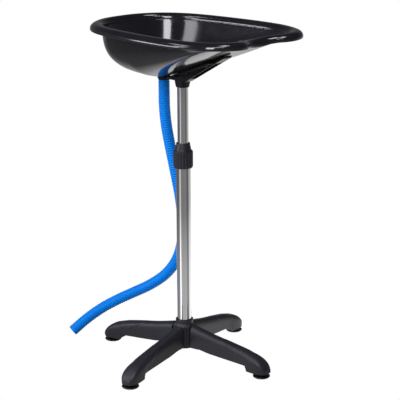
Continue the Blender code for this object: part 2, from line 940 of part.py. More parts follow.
def make_strainer(parts, cutters, column, drain):
    top = BOWL_FLOOR + 0.0046
    strainer = rod(
        "hair_strainer",
        [
            (0.0030, top + 0.0060),
            (0.0022, top + 0.0010),
            (0.0120, top),
            (0.0155, top - 0.0014),
            (0.0155, top - 0.0017),
            (0.0130, top - 0.0017),
            (0.0088, BOWL_FLOOR - 0.0005),
            (0.0088, BOWL_FLOOR - 0.0040),
        ],
        24,
        parts,
        drain,
    )
    place = column.matrix_world @ Matrix.Translation((DRAIN_X, 0, 0))
    for number in range(6):
        spoke = Matrix.Rotation(math.tau / 6 * number, 4, "Z") @ Matrix.Translation((0.0058, 0, 0))
        hole = pin_cutter(
            f"strainer_hole_{number + 1}", 0.0020, 0.70, 0.80, cutters, place @ spoke, 10
        )
        combine(strainer, hole, "DIFFERENCE")
    paint(strainer, ZINC, 0.2, 1.0)


def make_hose(parts, column):
    fine = smooth_points(HOSE_ROUTE, 12, False)
    length = sum((b - a).length for a, b in zip(fine, fine[1:]))
    count = round(length / HOSE_STEP) + 1
    curve = bpy.data.curves.new("drain_hose", "CURVE")
    curve.dimensions = "3D"
    curve.bevel_depth = HOSE_RADIUS
    curve.bevel_resolution = 3
    curve.use_fill_caps = True
    spline = curve.splines.new("POLY")
    spline.points.add(count - 1)
    for point, place in zip(spline.points, evenly(fine, count, False)):
        point.co = (*place, 1.0)
    hose = object_of("drain_hose", curve, parts, column)
    paint(hose, BLUE, 0.4)


def main():
    clear_scene()
    parts = new_collection("pet_bathtub")
    cutters = new_collection("cutters")
    cutters.hide_render = True
    column = empty("column", parts, (COLUMN_X, 0.0, 0.0))
    bpy.context.view_layer.update()
    make_hub(parts, cutters, column)
    make_legs(parts, cutters, column)
    make_leg_screws(parts, column)
    make_feet(parts, column)
    make_lower_column(parts, column)
    make_twist_lock(parts, cutters, column)
    make_upper_column(parts, cutters, column)
    make_bracket(parts, cutters, column)
    make_bracket_screws(parts, column)
    make_basin(parts, cutters, column)
    make_drain(parts, cutters, column)
    make_hose(parts, column)


main()
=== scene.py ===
"""Looks of the pet bathtub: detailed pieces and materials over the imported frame, a pale studio
and a camera. Metres, +Z up, the neck rest to +X. Pieces are drawn in the column's own frame,
whose origin is where the column's axis meets the floor."""

import math

import bmesh
import bpy
import numpy as np
from mathutils import Matrix, Vector


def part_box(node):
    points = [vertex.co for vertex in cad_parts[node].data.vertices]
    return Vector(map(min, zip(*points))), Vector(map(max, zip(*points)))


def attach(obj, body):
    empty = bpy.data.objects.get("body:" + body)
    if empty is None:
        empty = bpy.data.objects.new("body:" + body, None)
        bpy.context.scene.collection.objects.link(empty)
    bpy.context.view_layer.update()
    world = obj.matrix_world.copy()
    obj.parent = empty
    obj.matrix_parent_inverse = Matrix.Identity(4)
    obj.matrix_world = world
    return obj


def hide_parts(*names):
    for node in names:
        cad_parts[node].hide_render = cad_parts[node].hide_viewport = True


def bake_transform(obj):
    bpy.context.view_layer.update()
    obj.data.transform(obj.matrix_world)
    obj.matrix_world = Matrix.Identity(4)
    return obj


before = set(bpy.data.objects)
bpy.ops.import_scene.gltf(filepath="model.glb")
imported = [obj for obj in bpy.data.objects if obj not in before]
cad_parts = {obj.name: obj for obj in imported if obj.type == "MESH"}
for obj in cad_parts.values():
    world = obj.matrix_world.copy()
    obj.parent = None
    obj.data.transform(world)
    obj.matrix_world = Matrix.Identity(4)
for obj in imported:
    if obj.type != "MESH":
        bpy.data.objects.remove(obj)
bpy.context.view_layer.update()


def middle_of(node):
    low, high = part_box(node)
    return (low + high) / 2


def radius_of(node):
    low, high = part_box(node)
    return (high.x - low.x) / 2


def top_of(node):
    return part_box(node)[1].z


def foot_of(node):
    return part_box(node)[0].z


# Places that the frame gives
COLUMN_X = middle_of("lower_tube").x
LOWER_RADIUS = radius_of("lower_tube")
UPPER_RADIUS = radius_of("upper_tube")
COLLAR_RADIUS = radius_of("lock_collar")
DRAIN_X = middle_of("drain_nut").x - COLUMN_X
PAD_RADIUS = radius_of("foot_pad_1")
PAD_TOP = top_of("foot_pad_1")
CREST_Z = top_of("basin")
FIRST_PAD = middle_of("foot_pad_1") - Vector((COLUMN_X, 0.0, 0.0))
FOOT_REACH = math.hypot(FIRST_PAD.x, FIRST_PAD.y)
FIRST_LEG = math.atan2(FIRST_PAD.y, FIRST_PAD.x)
LEGS = 4

# Camera
LENS = 128.0
CAMERA_SPOT = (2.550, -2.506, 1.447)  # from the column's foot
LOOK_TURN = math.radians(134.81)  # from +X towards +Y
LOOK_DOWN = math.radians(15.74)
CAMERA_ROLL = math.radians(-0.28)

# Basin
SHELL = 0.004
BASIN_SEGMENTS = 288
BOWL_RINGS = 46
NECK_DIP = 0.0095
NECK_WIDTH = 0.065
NECK_START = 0.10
NECK_EASE = 0.14
LIP_INWARD = 0.014
LIP_OUTWARD = 0.022
LIP_CROWN = 0.003
LIP_DROP = 0.014
LIP_STEPS = (12, 14)
FLANGE_DROP = 0.0175
EDGE_ROUND = 0.0012
DRAIN_HOLE = 0.0130
DRAIN_FLAT = 0.0225
DRAIN_BLEND = 0.050
BOWL_FLOOR = 0.769
BOWL_ROUND = 0.158
RAMP_ROUND = 0.100
ROUND_CHANGE = 0.20  # the run over which the one round becomes the other
WALL_FULLNESS = 2.2
WALL_STEEPNESS = 3.0
WALL_DRAFT = 3.4  # the inner wall's fall for each unit that it leans
DRAFT_BLEND = 6
NORMAL_REACH = 4  # neighbours on each side that a wall's normal is averaged over
RAMP_START = -0.046
RAMP_SLOPE = 0.385
RAMP_EASE = 0.004
HALF_RIM = [
    (-0.231, 0.000),
    (-0.225, 0.056),
    (-0.198, 0.105),
    (-0.156, 0.139),
    (-0.097, 0.160),
    (0.000, 0.173),
    (0.100, 0.178),
    (0.180, 0.172),
    (0.236, 0.152),
    (0.264, 0.128),
    (0.276, 0.103),
    (0.274, 0.081),
    (0.258, 0.061),
    (0.245, 0.036),
    (0.240, 0.000),
]

# Bracket
SEAT_AT = 0.060
SEAT_CLEAR = 0.0008
SEAT_SLOPE = 0.3832
PLATE_RUN = (0.010, 0.122)
PLATE_HALF_WIDTH = 0.0295
PLATE_DEPTH = 0.008
WEDGE_RUN = (-0.047, 0.158)
WEDGE_HALF_WIDTH = 0.016
WEDGE_WALL = 0.0035
WEDGE_REAR_EDGE = 0.003
WEDGE_TIP_EDGE = 0.006
HOLLOW_START = 0.028
HOLLOW_RUN = 0.105
HOLLOW_DEPTH = 0.060
WEDGE_LOW = (0.020, 0.7555)
WEDGE_REAR_LOW = (-0.016, 0.7570)
SOCKET_RADII = (0.01725, 0.0195)
SOCKET_BOTTOM = foot_of("bracket")
SOCKET_HEIGHT = 0.017
SOCKET_RIBS = 10
SOCKET_RELIEF = 0.0011
MELT_SIZE = 0.0009
BASIN_SCREWS = [(0.035, 0.0215), (0.035, -0.0215), (0.104, 0.0215), (0.104, -0.0215)]

# Hose: the route's points are the part's own
HOSE_DIAMETER = 0.030
HOSE_PITCH = 0.0065
HOSE_ROUTE = [
    (-0.0685, 0.0000, 0.7505),
    (-0.0685, 0.0000, 0.7150),
    (-0.0702, 0.0025, 0.6750),
    (-0.0705, 0.0090, 0.6250),
    (-0.0665, 0.0190, 0.5650),
    (-0.0595, 0.0290, 0.5000),
    (-0.0530, 0.0395, 0.4300),
    (-0.0560, 0.0520, 0.3580),
    (-0.0750, 0.0670, 0.2950),
    (-0.1050, 0.0760, 0.2360),
    (-0.1405, 0.0685, 0.1875),
    (-0.1810, 0.0490, 0.1520),
    (-0.2210, 0.0230, 0.1260),
    (-0.2575, -0.0070, 0.1025),
    (-0.2895, -0.0400, 0.0770),
    (-0.3155, -0.0735, 0.0480),
    (-0.3370, -0.1070, 0.0160),
]
HOSE_BORE = 0.0116
HOSE_RELIEF = 0.0006
HOSE_SEGMENTS = 32
RIB_STEPS = 8
RIB_SHARPNESS = 0.6

# Column and twist lock
TUBE_WALL = 0.0015
TUBE_EDGE = 0.0006
TUBE_SEGMENTS = 128
GRIP_HEIGHT = 0.045
GRIP_FLUTES = 20
FLUTE_DEPTH = 0.0017
COLLAR_SEGMENTS = 400
COLLAR_BORE = 0.0226
COLLAR_MOUTH = 0.0151
COLLAR_CONE = [(0.0226, 0.5608), (0.0200, 0.5625), (0.0178, 0.5885), (0.0151, 0.5895)]

# Base
HUB_RADIUS = 0.0300
HUB_RIB_DEPTH = 0.0022
HUB_FLOOR = 0.010
HUB_BOLT_HOLE = 0.0043
ARM_RUN = (0.022, 0.052)
ARM_HALF_WIDTH = 0.012
ARM_TOP = 0.004
LEG_WALL = 0.0035
LEG_RUNS = [(0.0306, 0.2015, 64), (0.2022, 0.2078, 6), (0.2085, 0.2640, 30)]  # from, to, sections
POCKET_RUN = (0.062, 0.198)
POCKETS = 4
POCKET_RIB = 0.0012
TOE_STEP = 0.0009
STUD_TURNS = 22
STUD_RADII = (0.0035, 0.0040)
LEG_SCREW_REACH = 0.042
LEG_STATIONS = [
    # reach, bottom, top, half width
    (0.0306, 0.0403, 0.0975, 0.0185),
    (0.0520, 0.0403, 0.0925, 0.0180),
    (0.0900, 0.0340, 0.0840, 0.0170),
    (0.1400, 0.0300, 0.0750, 0.0168),
    (0.1850, 0.0275, 0.0660, 0.0180),
    (0.2020, 0.0265, 0.0615, 0.0192),
    (0.2080, 0.0130, 0.0598, 0.0200),
    (0.2280, 0.0120, 0.0535, 0.0215),
    (0.2440, 0.0120, 0.0450, 0.0212),
    (0.2560, 0.0120, 0.0345, 0.0175),
    (0.2635, 0.0122, 0.0240, 0.0105),
]

# Studio
LIGHT_DISTANCE = 2.6  # from the basin's middle
LIGHT_TINT = (0.95, 0.95, 1.0)
SOFTBOXES = [
    # name, degrees from +X, degrees above level, (width, height), power
    ("softbox_right", -61.0, 33.0, (0.80, 1.45), 58.0),
    ("softbox_far_right", -38.0, 53.0, (0.90, 0.35), 12.0),
    ("softbox_left", -109.0, 25.0, (0.72, 0.95), 15.0),
    ("strip_low", -125.0, 7.0, (1.50, 0.60), 30.0),
    ("strip_high", -128.0, 51.0, (1.10, 0.25), 10.0),
    ("top", 24.0, 77.0, (0.80, 0.50), 16.0),
]
SKY_LOW = (0.20, 0.20, 0.205, 1.0)
SKY_HIGH = (0.030, 0.030, 0.032, 1.0)
SKY_HIGH_FROM = 0.55
FLOOR_RADIUS = 30.0
GLOW_NEAR = (0.4, 0.95)  # distance, brightness
GLOW_FAR = (2.0, 0.42)
FLOOR_BANDS = [
    # degrees from +X, brightness
    (-180.0, 0.28),
    (-140.0, 0.40),
    (-112.0, 0.45),
    (-104.0, 2.40),
    (-95.0, 2.40),
    (-84.0, 0.70),
    (-45.0, 0.62),
    (-10.0, 0.70),
    (20.0, 0.32),
    (34.0, 0.45),
    (46.0, 1.30),
    (70.0, 1.60),
    (100.0, 1.50),
    (125.0, 1.70),
    (135.0, 1.50),
    (150.0, 0.95),
    (165.0, 0.60),
    (180.0, 0.28),
]


# ---- mesh helpers -------------------------------------------------------------------------


def ease(value):
    """0 below 0, 1 above 1, and smooth between."""
    held = np.clip(value, 0.0, 1.0)
    return held * held * (3.0 - 2.0 * held)


def bump(distance, width):
    """1 at no distance, falling smoothly to 0 at width."""
    return 1.0 - ease(abs(distance) / width)


def piece_of(name, shape, sharp=35.0, place=None):
    """A named object from a bmesh, smooth but for edges sharper than the given degrees."""
    bmesh.ops.recalc_face_normals(shape, faces=shape.faces)
    mesh = bpy.data.meshes.new(name)
    shape.to_mesh(mesh)
    shape.free()
    mesh.shade_smooth()
    mesh.set_sharp_from_angle(angle=math.radians(sharp))
    made = bpy.data.objects.new(name, mesh)
    made.matrix_world = Matrix.Translation((COLUMN_X, 0, 0)) @ (place or Matrix.Identity(4))
    bpy.context.scene.collection.objects.link(made)
    return made


def skin(rings, closed_rings, closed_ends):
    """A bmesh over rings of points. closed_rings joins each ring's ends, closed_ends the rings'."""
    shape = bmesh.new()
    made = [[shape.verts.new(point) for point in ring] for ring in rings]
    pairs = list(zip(made, made[1:]))
    if closed_ends:
        pairs.append((made[-1], made[0]))
    count = len(made[0])
    for one, other in pairs:
        for step in range(count if closed_rings else count - 1):
            after = (step + 1) % count
            shape.faces.new((one[step], one[after], other[after], other[step]))
    return shape


def capped(rings):
    """A closed bmesh over rings, with a face over the first and the last."""
    shape = skin(rings, True, False)
    shape.verts.ensure_lookup_table()
    count = len(rings[0])
    shape.faces.new(shape.verts[:count])
    shape.faces.new(shape.verts[-count:])
    return shape


def rounded(outline, radius, steps=4):
    """The same closed outline of (radius, z) points with its corners rounded, but for any on the axis."""
    found = []
    count = len(outline)
    for number, corner in enumerate(outline):
        here = Vector(corner)
        before = Vector(outline[number - 1])
        after = Vector(outline[(number + 1) % count])
        if here.x < 1e-6:
            found.append(here)
            continue
        cut = min(radius, 0.45 * (before - here).length, 0.45 * (after - here).length)
        start = here + (before - here).normalized() * cut
        end = here + (after - here).normalized() * cut
        for step in range(steps + 1):
            t = step / steps
            found.append(start * (1 - t) ** 2 + here * 2 * t * (1 - t) + end * t * t)
    return found


def lathe(name, outline, steps, ripple=None, place=None, sharp=35.0):
    """A closed outline turned about Z. An outline whose two end points are on the axis is solid.
    ripple(angle, radius, z) gives the radius to use instead."""
    solid = outline[0][0] < 1e-6
    rings = []
    for step in range(steps):
        angle = math.tau * step / steps
        ring = []
        for radius, z in outline:
            if ripple is not None and radius > 1e-6:
                radius = ripple(angle, radius, z)
            ring.append((radius * math.cos(angle), radius * math.sin(angle), z))
        rings.append(ring)
    shape = skin(rings, not solid, True)
    bmesh.ops.remove_doubles(shape, verts=shape.verts, dist=0.000002)
    return piece_of(name, shape, sharp, place)


def settled(thing):
    """Applies the object's modifiers."""
    graph = bpy.context.evaluated_depsgraph_get()
    mesh = bpy.data.meshes.new_from_object(thing.evaluated_get(graph))
    thing.modifiers.clear()
    thing.data = mesh


def cut(thing, cutters, operation="DIFFERENCE"):
    """Booleans each cutter with the object, then removes the cutters."""
    bpy.context.view_layer.update()
    for cutter in cutters:
        step = thing.modifiers.new(cutter.name, "BOOLEAN")
        step.operation = operation
        step.object = cutter
        step.solver = "EXACT"
    settled(thing)
    for cutter in cutters:
        bpy.data.objects.remove(cutter, do_unlink=True)


def curve_through(points, per_span, closed=False):
    """Points along a Catmull-Rom curve through the given ones, as an array."""
    known = np.array(points, float)
    count = len(known)
    if closed:
        padded = np.vstack([known[-1:], known, known[:2]])
        spans = count
    else:
        padded = np.vstack([2 * known[0] - known[1], known, 2 * known[-1] - known[-2]])
        spans = count - 1
    found = []
    for span in range(spans):
        a, b, c, d = padded[span : span + 4]
        for step in range(per_span):
            t = step / per_span
            found.append(
                0.5
                * (
                    2 * b
                    + (c - a) * t
                    + (2 * a - 5 * b + 4 * c - d) * t * t
                    + (3 * b - a - 3 * c + d) * t**3
                )
            )
    if not closed:
        found.append(known[-1])
    return np.array(found)


def evenly(points, count, closed=False):
    """The same line with its points spread evenly along it."""
    line = np.vstack([points, points[:1]]) if closed else points
    lengths = np.linalg.norm(np.diff(line, axis=0), axis=1)
    at = np.concatenate([[0.0], np.cumsum(lengths)])
    wanted = np.linspace(0.0, at[-1], count, endpoint=not closed)
    return np.stack([np.interp(wanted, at, line[:, axis]) for axis in range(line.shape[1])], axis=1)


def show(thing, body, slot, *nodes):
    """Rides the piece on its body and hides the CAD nodes that it stands for. The slot, the name of its
    finish, is not used.
    """
    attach(thing, body)
    if nodes:
        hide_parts(*nodes)


# ---- materials ----------------------------------------------------------------------------


def noise(tree, scale, stretch=(1, 1, 1), detail=4.0):
    """A 3-D noise that sits on the object, stretched along its axes."""
    place = tree.nodes.new("ShaderNodeTexCoord")
    mapping = tree.nodes.new("ShaderNodeMapping")
    mapping.inputs["Scale"].default_value = stretch
    made = tree.nodes.new("ShaderNodeTexNoise")
    made.inputs["Scale"].default_value = scale
    made.inputs["Detail"].default_value = detail
    tree.links.new(place.outputs["Object"], mapping.inputs["Vector"])
    tree.links.new(mapping.outputs["Vector"], made.inputs["Vector"])
    return made.outputs["Fac"]


def spread(tree, value, low, high):
    """The value's middle range stretched to run from low to high."""
    made = tree.nodes.new("ShaderNodeMapRange")
    made.inputs["From Min"].default_value = 0.3
    made.inputs["From Max"].default_value = 0.7
    made.inputs["To Min"].default_value = low
    made.inputs["To Max"].default_value = high
    tree.links.new(value, made.inputs["Value"])
    return made.outputs["Result"]


# Sockets of a colour Mix node, which shares their names with its other data types
MIX_SHARE = 0
MIX_ONE = 6
MIX_OTHER = 7
MIX_COLOUR = 2


def tinted(tree, value, one, other):
    """A colour that runs between two with the value."""
    made = tree.nodes.new("ShaderNodeMix")
    made.data_type = "RGBA"
    made.inputs[MIX_ONE].default_value = (*one, 1.0)
    made.inputs[MIX_OTHER].default_value = (*other, 1.0)
    tree.links.new(value, made.inputs[MIX_SHARE])
    return made.outputs[MIX_COLOUR]


def raised(tree, value, depth, strength):
    made = tree.nodes.new("ShaderNodeBump")
    made.inputs["Distance"].default_value = depth
    made.inputs["Strength"].default_value = strength
    tree.links.new(value, made.inputs["Height"])
    return made.outputs["Normal"]


def material(name, colours, roughness, grain, metallic=0.0, specular=0.5):
    """A Principled material. colours are two near ones that vary slowly, roughness is a (low,
    high) pair that varies more finely, and grain is (scale, stretch, depth) of the fine relief."""
    made = bpy.data.materials.new(name)
    made.use_nodes = True
    tree = made.node_tree
    shader = tree.nodes["Principled BSDF"]
    shader.inputs["Metallic"].default_value = metallic
    shader.inputs["Specular IOR Level"].default_value = specular
    scale, stretch, depth = grain
    slow = spread(tree, noise(tree, 9.0), 0.0, 1.0)
    tree.links.new(tinted(tree, slow, *colours), shader.inputs["Base Color"])
    fine = noise(tree, scale, stretch)
    tree.links.new(spread(tree, fine, *roughness), shader.inputs["Roughness"])
    tree.links.new(raised(tree, fine, depth, 1.0), shader.inputs["Normal"])
    return made


EVEN = (1, 1, 1)
GLOSS_BLACK = material(
    "gloss_black", ((0.0068, 0.0066, 0.0088), (0.0095, 0.0092, 0.0120)), (0.10, 0.14),
    (55.0, EVEN, 0.00004),
)
SATIN_BLACK = material(
    "satin_black", ((0.0150, 0.0147, 0.0195), (0.0195, 0.0190, 0.0245)), (0.42, 0.52),
    (900.0, EVEN, 0.00008), specular=0.30,
)
BRACKET_BLACK = material(
    "bracket_black", ((0.0055, 0.0054, 0.0070), (0.0080, 0.0078, 0.0100)), (0.26, 0.34),
    (700.0, EVEN, 0.00006), specular=0.18,
)
PAD_BLACK = material(
    "pad_black", ((0.0040, 0.0040, 0.0050), (0.0060, 0.0060, 0.0070)), (0.12, 0.18),
    (300.0, EVEN, 0.00003),
)
DRAWN_STEEL = material(
    "drawn_steel", ((0.60, 0.60, 0.60), (0.66, 0.66, 0.66)), (0.10, 0.15),
    (60.0, (14, 14, 0.25), 0.000008), metallic=1.0,
)
ZINC_STEEL = material(
    "zinc_steel", ((0.44, 0.44, 0.46), (0.54, 0.54, 0.55)), (0.25, 0.38),
    (500.0, EVEN, 0.00002), metallic=1.0,
)
# Painted shade: the basin screws are zinc steel, made near black so that their heads under the bracket's
# plate show no bright reflection.
SCREW_STEEL_PAINTED_SHADE = material(
    "screw_steel_painted_shade", ((0.030, 0.030, 0.033), (0.045, 0.045, 0.048)), (0.40, 0.52),
    (500.0, EVEN, 0.00002), metallic=0.6,
)
SEAL_BLACK = material(
    "seal_black", ((0.010, 0.010, 0.011), (0.018, 0.018, 0.019)), (0.60, 0.75),
    (800.0, EVEN, 0.00010),
)
HOSE_BLUE = material(
    "hose_blue", ((0.0, 0.170, 0.640), (0.0, 0.195, 0.720)), (0.42, 0.55),
    (240.0, EVEN, 0.00002), specular=0.10,
)


def wear(thing, what):
    thing.data.materials.clear()
    thing.data.materials.append(what)


# ---- camera and studio --------------------------------------------------------------------


def make_camera():
    data = bpy.data.cameras.new("camera")
    data.lens = LENS
    data.sensor_width = 36.0
    data.clip_start = 0.05
    camera = bpy.data.objects.new("camera", data)
    bpy.context.scene.collection.objects.link(camera)
    level = math.cos(LOOK_DOWN)
    forward = Vector(
        (math.cos(LOOK_TURN) * level, math.sin(LOOK_TURN) * level, -math.sin(LOOK_DOWN))
    )
    aim = forward.to_track_quat("-Z", "Y").to_matrix().to_4x4()
    spot = Vector(CAMERA_SPOT) + Vector((COLUMN_X, 0, 0))
    camera.matrix_world = Matrix.Translation(spot) @ aim @ Matrix.Rotation(CAMERA_ROLL, 4, "Z")
    bpy.context.scene.camera = camera


def seen_or_lit(tree, seen, lit):
    """A colour that is one thing where it is looked at and another where it lights the object."""
    path = tree.nodes.new("ShaderNodeLightPath")
    made = tree.nodes.new("ShaderNodeMix")
    made.data_type = "RGBA"
    made.inputs[MIX_OTHER].default_value = (*seen, 1.0)
    tree.links.new(path.outputs["Is Camera Ray"], made.inputs[MIX_SHARE])
    tree.links.new(lit, made.inputs[MIX_ONE])
    return made.outputs[MIX_COLOUR]


def make_world():
    """White behind the object. What lights it and shows in its gloss is grey, darker overhead."""
    world = bpy.data.worlds.new("studio")
    bpy.context.scene.world = world
    world.use_nodes = True
    tree = world.node_tree
    place = tree.nodes.new("ShaderNodeTexCoord")
    split = tree.nodes.new("ShaderNodeSeparateXYZ")
    ramp = tree.nodes.new("ShaderNodeValToRGB")
    ramp.color_ramp.elements[0].position = 0.0
    ramp.color_ramp.elements[0].color = SKY_LOW
    ramp.color_ramp.elements[1].position = SKY_HIGH_FROM
    ramp.color_ramp.elements[1].color = SKY_HIGH
    tree.links.new(place.outputs["Generated"], split.inputs["Vector"])
    tree.links.new(split.outputs["Z"], ramp.inputs["Fac"])
    colour = seen_or_lit(tree, (1.0, 1.0, 1.0), ramp.outputs["Color"])
    tree.links.new(colour, tree.nodes["Background"].inputs["Color"])


def by_bearing(tree, place, bands):
    """A value that changes with the bearing of a place, from (degrees, value) pairs in order."""
    split = tree.nodes.new("ShaderNodeSeparateXYZ")
    turn = tree.nodes.new("ShaderNodeMath")
    turn.operation = "ARCTAN2"
    share = tree.nodes.new("ShaderNodeMapRange")
    share.inputs["From Min"].default_value = -math.pi
    share.inputs["From Max"].default_value = math.pi
    ramp = tree.nodes.new("ShaderNodeValToRGB")
    stops = ramp.color_ramp.elements
    for number, (degrees, value) in enumerate(bands):
        spot = (degrees + 180.0) / 360.0
        stop = stops[number] if number < 2 else stops.new(spot)
        stop.position = spot
        stop.color = (value, value, value, 1.0)
    tree.links.new(place, split.inputs["Vector"])
    tree.links.new(split.outputs["Y"], turn.inputs[0])
    tree.links.new(split.outputs["X"], turn.inputs[1])
    tree.links.new(turn.outputs["Value"], share.inputs["Value"])
    tree.links.new(share.outputs["Result"], ramp.inputs["Fac"])
    return ramp.outputs["Color"]


def make_floor():
    """A pale floor. Its reflections are brightest under the object and differ with the bearing."""
    shape = bmesh.new()
    bmesh.ops.create_circle(shape, cap_ends=True, segments=64, radius=FLOOR_RADIUS)
    floor = piece_of("floor", shape)
    made = bpy.data.materials.new("floor")
    made.use_nodes = True
    tree = made.node_tree
    tree.nodes.remove(tree.nodes["Principled BSDF"])
    place = tree.nodes.new("ShaderNodeTexCoord").outputs["Object"]
    length = tree.nodes.new("ShaderNodeVectorMath")
    length.operation = "LENGTH"
    fall = tree.nodes.new("ShaderNodeMapRange")
    fall.inputs["From Min"].default_value = GLOW_NEAR[0]
    fall.inputs["From Max"].default_value = GLOW_FAR[0]
    fall.inputs["To Min"].default_value = GLOW_NEAR[1]
    fall.inputs["To Max"].default_value = GLOW_FAR[1]
    both = tree.nodes.new("ShaderNodeVectorMath")
    both.operation = "MULTIPLY"
    glow = tree.nodes.new("ShaderNodeEmission")
    tree.links.new(place, length.inputs[0])
    tree.links.new(length.outputs["Value"], fall.inputs["Value"])
    tree.links.new(fall.outputs["Result"], both.inputs[0])
    tree.links.new(by_bearing(tree, place, FLOOR_BANDS), both.inputs[1])
    colour = seen_or_lit(tree, (1.0, 1.0, 1.0), both.outputs["Vector"])
    tree.links.new(colour, glow.inputs["Color"])
    tree.links.new(glow.outputs["Emission"], tree.nodes["Material Output"].inputs["Surface"])
    wear(floor, made)


def softbox(name, turn, rise, size, power):
    """A rectangular light that faces the basin's middle."""
    data = bpy.data.lights.new(name, "AREA")
    data.shape = "RECTANGLE"
    data.size, data.size_y = size
    data.energy = power
    data.color = LIGHT_TINT
    light = bpy.data.objects.new(name, data)
    bpy.context.scene.collection.objects.link(light)
    around, up = math.radians(turn), math.radians(rise)
    back = Vector((math.cos(around) * math.cos(up), math.sin(around) * math.cos(up), math.sin(up)))
    aim = (-back).to_track_quat("-Z", "Y").to_matrix().to_4x4()
    spot = middle_of("basin") + back * LIGHT_DISTANCE
    light.matrix_world = Matrix.Translation(spot) @ aim


def make_lights():
    """Softboxes by the bearings at which they show in the basin's gloss."""
    for light in SOFTBOXES:
        softbox(*light)


# ---- hose ---------------------------------------------------------------------------------


def swept(centres, radii, steps):
    """Rings of the given radii round a line of centres, without twist."""
    along = np.gradient(centres, axis=0)
    along /= np.linalg.norm(along, axis=1)[:, None]
    side = np.array([1.0, 0.0, 0.0])
    turns = np.linspace(0.0, math.tau, steps, endpoint=False)
    rings = []
    for centre, direction, radius in zip(centres, along, radii):
        side = side - direction * side.dot(direction)
        side /= np.linalg.norm(side)
        other = np.cross(direction, side)
        rings.append(
            centre
            + radius * (np.cos(turns)[:, None] * side + np.sin(turns)[:, None] * other)
        )
    return rings


def make_hose():
    """The corrugated drain hose, open at its far end."""
    fine = curve_through(HOSE_ROUTE, 40)
    length = np.linalg.norm(np.diff(fine, axis=0), axis=1).sum()
    count = int(round(length / HOSE_PITCH)) * RIB_STEPS + 1
    centres = evenly(fine, count)
    wave = np.cos(np.arange(count) / RIB_STEPS * math.tau)
    crest = np.sign(wave) * np.abs(wave) ** RIB_SHARPNESS
    outer = HOSE_DIAMETER / 2 - HOSE_RELIEF + HOSE_RELIEF * crest
    inner = np.full(count, HOSE_BORE)
    rings = swept(centres, outer, HOSE_SEGMENTS) + swept(centres, inner, HOSE_SEGMENTS)[::-1]
    hose = piece_of("hose", skin(rings, True, True), 60.0)
    wear(hose, HOSE_BLUE)
    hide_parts("drain_hose")
    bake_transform(hose)


# ---- basin --------------------------------------------------------------------------------


def crest_height(x, y):
    front = ease((x - NECK_START) / NECK_EASE)
    return CREST_Z - NECK_DIP * front * np.exp(-((y / NECK_WIDTH) ** 2))


def ramp_underside(x):
    run = RAMP_SLOPE * np.maximum(x - RAMP_START, 0.0)
    return BOWL_FLOOR - SHELL + np.sqrt(run * run + RAMP_EASE * RAMP_EASE) - RAMP_EASE


def seat_height(x):
    """Height of the plane that the bracket's top face lies in."""
    return float(ramp_underside(SEAT_AT)) - SEAT_CLEAR + SEAT_SLOPE * (x - SEAT_AT)


def seat_place(x, y):
    tilt = Matrix.Rotation(-math.atan(SEAT_SLOPE), 4, "Y")
    return Matrix.Translation((x, y, seat_height(x))) @ tilt


def rim_line():
    """The crest seen from above, with the direction that points out of it at each point."""
    other_half = [(x, -y) for x, y in reversed(HALF_RIM[1:-1])]
    crest = evenly(curve_through([*HALF_RIM, *other_half], 24, True), BASIN_SEGMENTS, True)
    along = np.roll(crest, -1, axis=0) - np.roll(crest, 1, axis=0)
    along /= np.linalg.norm(along, axis=1)[:, None]
    out = np.stack([along[:, 1], -along[:, 0]], axis=1)
    middle_first = out[0].dot(crest[0])
    return crest, out if middle_first > 0 else -out


def bowl_height(points, edge, drafted):
    """Heights of the bowl, from how far each point is from the bowl's edge. The drafted face is the
    inner one, whose wall leans out a little more than the outer one's."""
    away = np.sqrt(((points[:, None] - edge[None]) ** 2).sum(axis=2)).min(axis=1)
    share = ease((points[:, 0] - DRAIN_X) / ROUND_CHANGE)
    reach = BOWL_ROUND + (RAMP_ROUND - BOWL_ROUND) * share
    floor = ramp_underside(points[:, 0]) + SHELL
    rise = np.maximum(1.0 - away / reach, 0.0)
    drop = (1.0 - rise**WALL_FULLNESS) ** (1.0 / WALL_STEEPNESS)
    top = crest_height(points[:, 0], points[:, 1]) - LIP_INWARD
    if drafted:
        straight = WALL_DRAFT * away / (top - floor)
        curved = np.maximum(drop, 1e-6) ** -DRAFT_BLEND
        drop = (curved + np.maximum(straight, 1e-6) ** -DRAFT_BLEND) ** (-1 / DRAFT_BLEND)
    from_drain = np.hypot(points[:, 0] - DRAIN_X, points[:, 1])
    climb = (1.0 - drop) * ease((from_drain - DRAIN_FLAT) / DRAIN_BLEND)
    return floor + (top - floor) * climb


def lip_section():
    """(outward, down) steps of the rolled rim, from just inside the crest to the flange's foot."""
    inner = [
        (-LIP_INWARD * math.cos(turn), LIP_INWARD * (1 - math.sin(turn)))
        for turn in np.linspace(0.0, math.pi / 2, LIP_STEPS[0])
    ]
    outer = [
        (LIP_CROWN + (LIP_OUTWARD - LIP_CROWN) * math.sin(turn), LIP_DROP * (1 - math.cos(turn)))
        for turn in np.linspace(0.0, math.pi / 2, LIP_STEPS[1])
    ]
    return [*inner, *outer, (LIP_OUTWARD, FLANGE_DROP - EDGE_ROUND)]


def flange_edge():
    """(outward, down) steps round the flange's lower edge, from its outer face to its inner one."""
    middle = LIP_OUTWARD - SHELL / 2
    flat = SHELL / 2 - EDGE_ROUND
    steps = []
    for side in (1, -1):
        turns = np.linspace(0.0, math.pi / 2, 4)
        for turn in turns if side > 0 else turns[::-1]:
            across = middle + side * (flat + EDGE_ROUND * math.cos(turn))
            steps.append((across, FLANGE_DROP - EDGE_ROUND * (1 - math.sin(turn))))
    return steps


